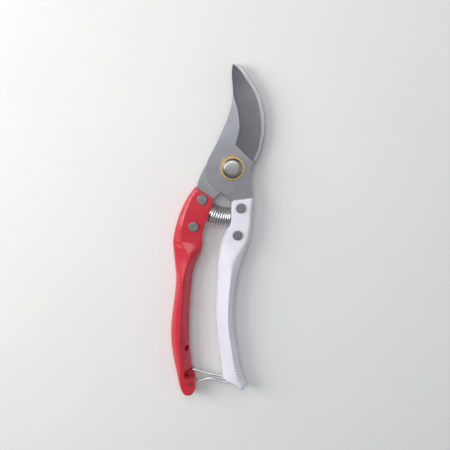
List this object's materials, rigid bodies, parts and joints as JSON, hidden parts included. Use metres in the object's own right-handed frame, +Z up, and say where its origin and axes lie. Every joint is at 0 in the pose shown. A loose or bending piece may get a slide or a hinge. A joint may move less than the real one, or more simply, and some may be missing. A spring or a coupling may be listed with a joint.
{
  "type": "bypass hand pruner",
  "caption": "Hand pruner for green stems: a curved cutting blade passes a hooked counter blade on one bolt; sprung open, held shut by a wire catch.",
  "frame": {"origin": "centre of the bounding box on the plane that the tool lies on", "axes": "+Y along the tool towards the blade tips, +Z up out of the side with the cutting blade and nut, +X towards the white handle"},
  "size_m": [0.05, 0.202, 0.0159],
  "materials": {
    "red_paint": "glossy red enamel over a die casting",
    "white_paint": "glossy white enamel over a die casting",
    "blade_steel": "satin ground steel with a darker hollow-ground bevel",
    "hook_steel": "satin steel",
    "rivet_steel": "dull grey steel",
    "nut_steel": "satin turned steel",
    "brass": "yellow plated, toothed rim",
    "spring_steel": "bright drawn wire"
  },
  "bodies": {
    "hook_side": {"red_handle": "red_paint", "hook_blade": "hook_steel", "red_rivet_upper": "rivet_steel", "red_rivet_lower": "rivet_steel", "pivot_bolt": "nut_steel", "pivot_nut": "nut_steel", "toothed_ring": "brass", "coil_spring": "spring_steel", "red_spring_peg": "nut_steel", "catch_pin": "rivet_steel"},
    "blade_side": {"white_handle": "white_paint", "cutting_blade": "blade_steel", "white_rivet_upper": "rivet_steel", "white_rivet_lower": "rivet_steel", "white_spring_peg": "nut_steel"},
    "catch": {"catch_wire": "spring_steel"}
  },
  "joints": [
    {"name": "blade_pivot", "type": "hinge", "parent": "hook_side", "child": "blade_side", "pos_m": [0.0076, 0.0417, 0.007], "axis": [0, 0, 1], "range_deg": [0, 38], "deforming": ["coil_spring"]},
    {"name": "catch_swing", "type": "hinge", "parent": "hook_side", "child": "catch", "pos_m": [-0.0098, -0.0928, 0.007], "axis": [0, 0, 1], "range_deg": [-90, 0]}
  ]
}
